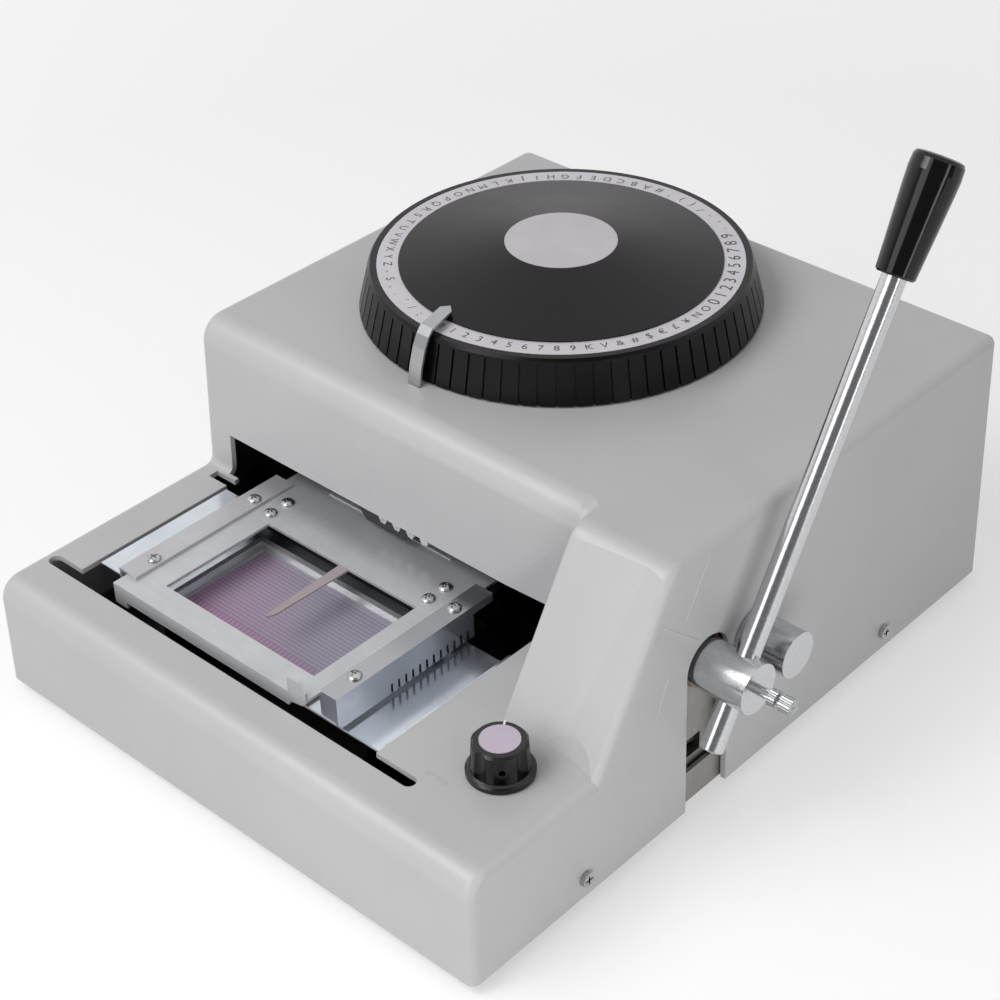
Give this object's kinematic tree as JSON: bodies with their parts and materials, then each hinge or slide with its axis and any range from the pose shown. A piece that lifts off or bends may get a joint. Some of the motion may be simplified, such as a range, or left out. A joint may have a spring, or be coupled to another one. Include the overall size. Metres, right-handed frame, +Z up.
{
  "type": "plastic card embosser",
  "caption": "Manual card embosser: light grey moulded cover, black character dial, chrome pull lever and a steel card carriage on the deck.",
  "frame": {"origin": "middle of the footprint on the table, lever included", "axes": "X to the operator's right, Y to the rear, Z up"},
  "size_m": [0.3804, 0.405, 0.3104],
  "materials": {
    "cover_shell": "textured",
    "dial_black": "smooth",
    "dial_metal": "brushed",
    "bright_steel": "brushed",
    "chrome_lever": "polished",
    "grip_black": "glossy",
    "zinc_plate": "zinc plated",
    "bare_steel": "machined",
    "bronze_bush": "machined",
    "carriage_steel": "satin",
    "pointer_tip": "smooth",
    "chart_card": "printed",
    "guard_black": "satin",
    "rail_black": "satin",
    "screw_steel": "polished",
    "type_wheel_metal": "machined",
    "slug_steel": "ground",
    "rubber": "matte",
    "knob_black": "satin",
    "knob_cap_metal": "spun"
  },
  "bodies": {
    "housing": {"cover": "cover_shell", "base_plate": "zinc_plate", "rubber_feet": "rubber", "cover_screws": "screw_steel", "right_side_plate": "zinc_plate", "left_side_plate": "zinc_plate", "spindle_bridge": "zinc_plate", "spindle_pedestal": "zinc_plate", "stop_post": "chrome_lever", "shaft_bushes": "bronze_bush", "press_beam": "zinc_plate", "rocker_pin": "bright_steel", "die_block": "zinc_plate", "front_rail": "zinc_plate", "punch_guard": "guard_black", "guard_screws": "screw_steel", "tray": "carriage_steel", "tray_stand": "zinc_plate", "position_chart": "chart_card", "chart_bezel": "carriage_steel", "guide_rail": "rail_black", "knob_bush": "bronze_bush", "index_pointer": "bright_steel"},
    "dial": {"dial_wheel": "dial_black", "character_ring": "dial_metal", "centre_disc": "dial_metal", "dial_spindle": "bright_steel", "spindle_nut": "screw_steel", "punch_type_wheel": "type_wheel_metal", "punch_slugs": "slug_steel", "die_type_wheel": "type_wheel_metal", "die_slugs": "slug_steel"},
    "lever": {"main_shaft": "bright_steel", "lever_hub": "chrome_lever", "lever_rod": "chrome_lever", "lever_grip": "grip_black", "lock_screw": "chrome_lever", "lock_nut": "chrome_lever", "punch_cam": "bare_steel", "upper_crank": "bare_steel", "shaft_collar": "bright_steel"},
    "link": {"drive_link": "bare_steel"},
    "lower_drive": {"lower_shaft": "bright_steel", "die_cam": "bare_steel", "lower_crank": "bare_steel"},
    "rocker": {"punch_rocker": "bare_steel"},
    "ram": {"die_ram": "bright_steel"},
    "slide": {"cross_slide": "zinc_plate", "spacing_rack": "bright_steel"},
    "carriage": {"card_plate": "carriage_steel", "left_angle": "carriage_steel", "comb_angle": "carriage_steel", "carriage_screws": "screw_steel", "position_pointer": "pointer_tip", "card_clamp": "carriage_steel"},
    "catch": {"line_catch": "bright_steel"},
    "knob": {"spacing_knob": "knob_black", "knob_cap": "knob_cap_metal", "knob_shaft": "screw_steel"}
  },
  "joints": [
    {"name": "dial_turn", "type": "hinge", "parent": "housing", "child": "dial", "pos_m": [-0.05505, 0.0824, 0.166], "axis": [0, 0, 1], "continuous": true},
    {"name": "lever_pull", "type": "hinge", "parent": "housing", "child": "lever", "pos_m": [0.14725, -0.038, 0.089], "axis": [1, 0, 0], "range_deg": [0, 82], "stiffness_Nm_per_rad": 0.6},
    {"name": "link_swing", "type": "hinge", "parent": "lever", "child": "link", "pos_m": [0.09815, -0.02169, 0.08139], "axis": [1, 0, 0], "range_deg": [-82, 0]},
    {"name": "lower_turn", "type": "hinge", "parent": "housing", "child": "lower_drive", "pos_m": [0.03725, -0.0206, 0.026], "axis": [1, 0, 0], "range_deg": [0, 82]},
    {"name": "rocker_tilt", "type": "hinge", "parent": "housing", "child": "rocker", "pos_m": [-0.05505, -0.027, 0.103], "axis": [1, 0, 0], "range_deg": [-15.1, 0]},
    {"name": "ram_lift", "type": "slide", "parent": "housing", "child": "ram", "axis": [0, 0, 1], "range_m": [0, 0.0021]},
    {"name": "slide_across", "type": "slide", "parent": "housing", "child": "slide", "axis": [1, 0, 0], "range_m": [-0.022, 0.026]},
    {"name": "carriage_line", "type": "slide", "parent": "slide", "child": "carriage", "axis": [0, 1, 0], "range_m": [-0.0048, 0.048]},
    {"name": "catch_engage", "type": "slide", "parent": "slide", "child": "catch", "axis": [1, 0, 0], "range_m": [0, 0.0025]},
    {"name": "knob_turn", "type": "hinge", "parent": "housing", "child": "knob", "pos_m": [0.10255, -0.1393, 0.076], "axis": [0, 0, 1], "range_deg": [0, 90]}
  ],
  "couplings": [
    {"joint": "link_swing", "follows": "lever_pull", "ratio": -1},
    {"joint": "lower_turn", "follows": "lever_pull", "ratio": 1},
    {"joint": "rocker_tilt", "follows": "lever_pull", "ratio": -0.183},
    {"joint": "ram_lift", "follows": "lever_pull", "m_per_rad": 0.001466}
  ]
}
